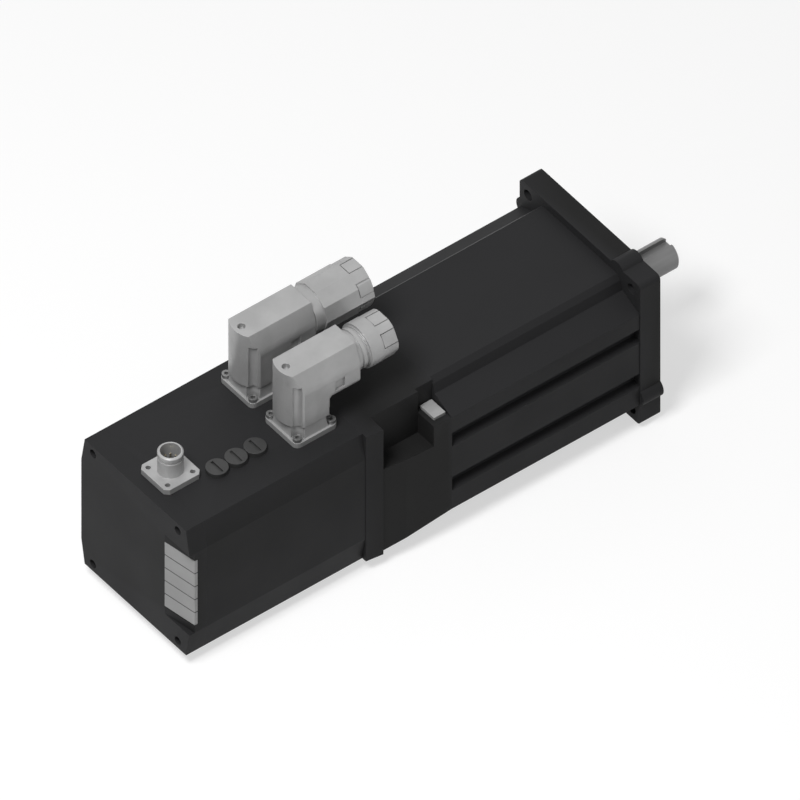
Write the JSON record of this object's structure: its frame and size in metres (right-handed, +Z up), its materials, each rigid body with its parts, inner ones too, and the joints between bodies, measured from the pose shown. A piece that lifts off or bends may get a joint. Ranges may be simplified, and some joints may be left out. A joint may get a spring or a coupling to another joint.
{
  "type": "integrated servo motor",
  "caption": "Servo motor with drive electronics in its rear housing, keyed shaft, square flange, swivelling angled sockets and a signal plug",
  "frame": {"origin": "centre of the mounting flange's front face, on the shaft axis", "axes": "+X along the shaft towards its free end, +Z up through the sockets' side"},
  "size_m": [0.37, 0.113, 0.155],
  "materials": {
    "black_paint": "fine matt black coat",
    "dark_steel": "blackened",
    "light_lens": "pale diffusing lens",
    "bare_metal": "machined",
    "ground_steel": "ground",
    "lamination": "varnished sheet stack",
    "magnet": "plated",
    "copper": "enamelled wire",
    "seal_rubber": "matt",
    "black_plastic": "moulded",
    "circuit_board": "coated",
    "nickel": "satin nickel plate",
    "gold_pins": "plated"
  },
  "bodies": {
    "frame": {"adapter_housing": "black_paint", "brake_magnet": "dark_steel", "control_board": "circuit_board", "drive_housing": "black_paint", "earth_pad": "bare_metal", "encoder_body": "black_plastic", "front_bearing_outer_ring": "ground_steel", "left_base_screws": "ground_steel", "left_socket_base": "nickel", "mounting_flange": "black_paint", "power_board": "circuit_board", "rear_bearing_bracket": "bare_metal", "rear_bearing_outer_ring": "ground_steel", "rear_cover": "black_paint", "rear_cover_screws": "dark_steel", "right_base_screws": "ground_steel", "right_socket_base": "nickel", "shaft_seal": "seal_rubber", "signal_plug_insert": "black_plastic", "signal_plug_pins": "gold_pins", "signal_plug_shell": "nickel", "stator_core": "lamination", "stator_housing": "black_paint", "stator_windings": "copper", "status_lights": "light_lens", "storage_capacitors": "black_plastic", "switch_caps": "black_plastic"},
    "rotor": {"motor_shaft": "ground_steel", "rotor_core": "lamination", "rotor_magnets": "magnet", "front_bearing_inner_ring": "ground_steel", "rear_bearing_inner_ring": "ground_steel", "brake_disc": "ground_steel", "encoder_disc": "black_plastic"},
    "front_balls": {"front_bearing_balls": "ground_steel"},
    "rear_balls": {"rear_bearing_balls": "ground_steel"},
    "left_turret": {"left_socket_turret": "nickel", "left_socket_insert": "black_plastic", "left_socket_pins": "gold_pins"},
    "right_turret": {"right_socket_turret": "nickel", "right_socket_insert": "black_plastic", "right_socket_pins": "gold_pins"},
    "left_nut": {"left_coupling_nut": "nickel"},
    "right_nut": {"right_coupling_nut": "nickel"}
  },
  "joints": [
    {"name": "shaft_spin", "type": "hinge", "parent": "frame", "child": "rotor", "pos_m": [0, 0, 0], "axis": [1, 0, 0], "continuous": true},
    {"name": "front_ball_spin", "type": "hinge", "parent": "frame", "child": "front_balls", "pos_m": [0, 0, 0], "axis": [1, 0, 0], "continuous": true},
    {"name": "rear_ball_spin", "type": "hinge", "parent": "frame", "child": "rear_balls", "pos_m": [0, 0, 0], "axis": [1, 0, 0], "continuous": true},
    {"name": "left_turret_swivel", "type": "hinge", "parent": "frame", "child": "left_turret", "pos_m": [-0.2214, 0.02125, 0.06], "axis": [0, 0, 1], "range_deg": [0, 180]},
    {"name": "right_turret_swivel", "type": "hinge", "parent": "frame", "child": "right_turret", "pos_m": [-0.2214, -0.01805, 0.06], "axis": [0, 0, 1], "range_deg": [-180, 0]},
    {"name": "left_nut_turn", "type": "hinge", "parent": "left_turret", "child": "left_nut", "pos_m": [-0.2214, 0.02125, 0.0838], "axis": [1, 0, 0], "continuous": true},
    {"name": "right_nut_turn", "type": "hinge", "parent": "right_turret", "child": "right_nut", "pos_m": [-0.2214, -0.01805, 0.0838], "axis": [1, 0, 0], "continuous": true}
  ],
  "couplings": [
    {"joint": "front_ball_spin", "follows": "shaft_spin", "ratio": 0.4179},
    {"joint": "rear_ball_spin", "follows": "shaft_spin", "ratio": 0.4386}
  ]
}
